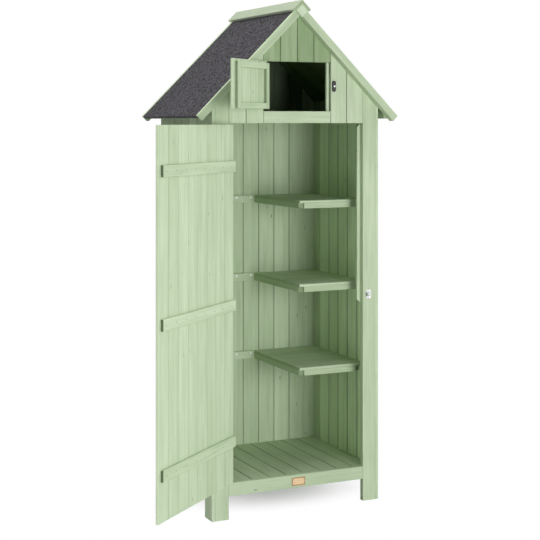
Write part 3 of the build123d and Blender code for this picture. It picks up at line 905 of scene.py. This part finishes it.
brushed_brass = new_material("brushed_sheet_brass")
brass_place = add_node(brushed_brass, "TexCoord").outputs["Object"]
brush_stroke = (brush_length, brush_width, brush_width)
brass_point = add_node(
    brushed_brass, "VectorMath", {0: brass_place, 1: brush_stroke}, operation="DIVIDE"
).outputs[0]
brushing = add_node(
    brushed_brass, "TexNoise", {"Vector": brass_point, "Scale": 1.0, "Detail": 2.0}
).outputs["Fac"]
brass_colour = add_node(
    brushed_brass, "Mix", {0: brushing, 6: linear("#BBA07B"), 7: linear("#D4BD9A")}, data_type="RGBA"
).outputs[2]
rim_share = add_node(brushed_brass, "Attribute", attribute_name="tarnish").outputs["Fac"]
dulled_colour = add_node(
    brushed_brass, "Mix", {0: rim_share, 6: brass_colour, 7: linear("#7A4A33")}, data_type="RGBA"
).outputs[2]
brass_roughness = add_node(
    brushed_brass, "MapRange", {"Value": brushing, "To Min": 0.34, "To Max": 0.5}
).outputs[0]
brass_surface = add_node(
    brushed_brass, "BsdfPrincipled",
    {"Base Color": dulled_colour, "Metallic": 1.0, "Roughness": brass_roughness},
)
add_node(brushed_brass, "OutputMaterial", {"Surface": brass_surface.outputs[0]})

pin_radius = 0.0014
pin_places = [
    (Vector((across, plate_low.y + plate_recess, height)), forward)
    for across in (plate_low.x + 2 * plate_rim, plate_high.x - 2 * plate_rim)
    for height in (plate_low.z + 2 * plate_rim, plate_high.z - 2 * plate_rim)
]
brass_pins = drive_screws(screw_head("brass_pins", pin_radius), pin_places)
for piece in (brass_plate, brass_pins):
    piece.data.materials.append(brushed_brass)
    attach(piece, "shed")

# Studio floor
# A white floor that throws light back up at the shed. The camera sees it as pure white, but for the
# soft shadow on the ground between the legs.
floor_reach = 4.5
shadow_middle = (0.03, 0.02, 0)
shadow_reach = (0.45, 0.27, 1)
floor_glow = 0.38
bpy.ops.object.select_all(action="DESELECT")
bpy.ops.mesh.primitive_plane_add(size=2 * floor_reach, location=(0, 0, 0))
studio_floor = bpy.context.object
studio_floor.name = "studio_floor"
pale_floor = new_material("pale_studio_floor")
floor_place = add_node(pale_floor, "TexCoord").outputs["Object"]
shadow_place = add_node(
    pale_floor, "VectorMath", {0: floor_place, 1: shadow_middle}, operation="SUBTRACT"
).outputs[0]
shadow_point = add_node(
    pale_floor, "VectorMath", {0: shadow_place, 1: shadow_reach}, operation="DIVIDE"
).outputs[0]
shadow_distance = add_node(pale_floor, "VectorMath", {0: shadow_point}, operation="LENGTH").outputs["Value"]
floor_fade = add_node(
    pale_floor, "MapRange", {"Value": shadow_distance, "From Min": 0.1, "From Max": 1.0},
    interpolation_type="SMOOTHSTEP",
).outputs[0]
floor_paint = add_node(pale_floor, "BsdfDiffuse", {"Color": linear("#F4F4F4")})
floor_light = add_node(pale_floor, "Emission", {"Color": linear("#FFFFFF"), "Strength": 1.0})
floor_shade = add_node(
    pale_floor, "MixShader", {0: floor_glow, 1: floor_paint.outputs[0], 2: floor_light.outputs[0]}
)
floor_seen = add_node(
    pale_floor, "MixShader", {0: floor_fade, 1: floor_shade.outputs[0], 2: floor_light.outputs[0]}
)
floor_ray = add_node(pale_floor, "LightPath").outputs
looked_at = add_node(
    pale_floor, "Math", {0: floor_ray["Is Camera Ray"], 1: floor_ray["Is Glossy Ray"]}, operation="MAXIMUM"
).outputs[0]
looked_at = add_node(
    pale_floor, "Math", {0: looked_at, 1: floor_ray["Is Transmission Ray"]}, operation="MAXIMUM"
).outputs[0]
floor_face = add_node(
    pale_floor, "MixShader", {0: looked_at, 1: floor_paint.outputs[0], 2: floor_seen.outputs[0]}
)
add_node(pale_floor, "OutputMaterial", {"Surface": floor_face.outputs[0]})
studio_floor.data.materials.append(pale_floor)

# Studio light
# A white room for what the camera and the metal see, a low light from all round for the rest, and
# four large soft lamps: one in front, one overhead, and one to each side.
scene = bpy.context.scene
studio = bpy.data.worlds.new("studio")
studio.use_nodes = True
studio.node_tree.nodes.clear()
room_light = 0.13
ray = add_node(studio, "LightPath")
seen = add_node(
    studio, "Math", {0: ray.outputs["Is Camera Ray"], 1: ray.outputs["Is Glossy Ray"]}, operation="MAXIMUM"
).outputs[0]
seen = add_node(
    studio, "Math", {0: seen, 1: ray.outputs["Is Transmission Ray"]}, operation="MAXIMUM"
).outputs[0]
soft_room = add_node(studio, "Background", {"Color": linear("#FFFFFF"), "Strength": room_light})
white_room = add_node(studio, "Background", {"Color": linear("#FFFFFF"), "Strength": 1.0})
room = add_node(studio, "MixShader", {0: seen, 1: soft_room.outputs[0], 2: white_room.outputs[0]})
add_node(studio, "OutputWorld", {"Surface": room.outputs[0]})
scene.world = studio

lamp_distance = 5.0
lamp_size = 2.2
lamp_target = Vector((0, 0, 0.9))
for name, azimuth, elevation, power in (
    ("front_lamp", 4, 2, 126),
    ("overhead_lamp", 10, 80, 46),
    ("left_lamp", -85, 50, 90),
    ("right_lamp", 80, 30, 77),
):
    across, up = math.radians(azimuth), math.radians(elevation)
    out = Vector((math.sin(across) * math.cos(up), -math.cos(across) * math.cos(up), math.sin(up)))
    lamp = bpy.data.lights.new(name, "AREA")
    lamp.shape = "DISK"
    lamp.size = lamp_size
    lamp.energy = power
    softbox = bpy.data.objects.new(name, lamp)
    softbox.location = lamp_target + lamp_distance * out
    softbox.rotation_euler = out.to_track_quat("Z", "Y").to_euler()
    scene.collection.objects.link(softbox)

# Camera
# Level, about 4.7 m away and a little to the left of the front, with the lens shifted down so that
# uprights stay upright.
lens = bpy.data.cameras.new("camera")
lens.sensor_width = 36
lens.lens = 86.62
lens.shift_y = -0.2746
camera = bpy.data.objects.new("camera", lens)
camera.location = (-1.987, -4.2747, 1.3426)
camera.rotation_euler = (math.radians(90), 0, math.radians(-25.04))
scene.collection.objects.link(camera)
scene.camera = camera
scene.view_settings.view_transform = "Standard"

bpy.context.view_layer.update()
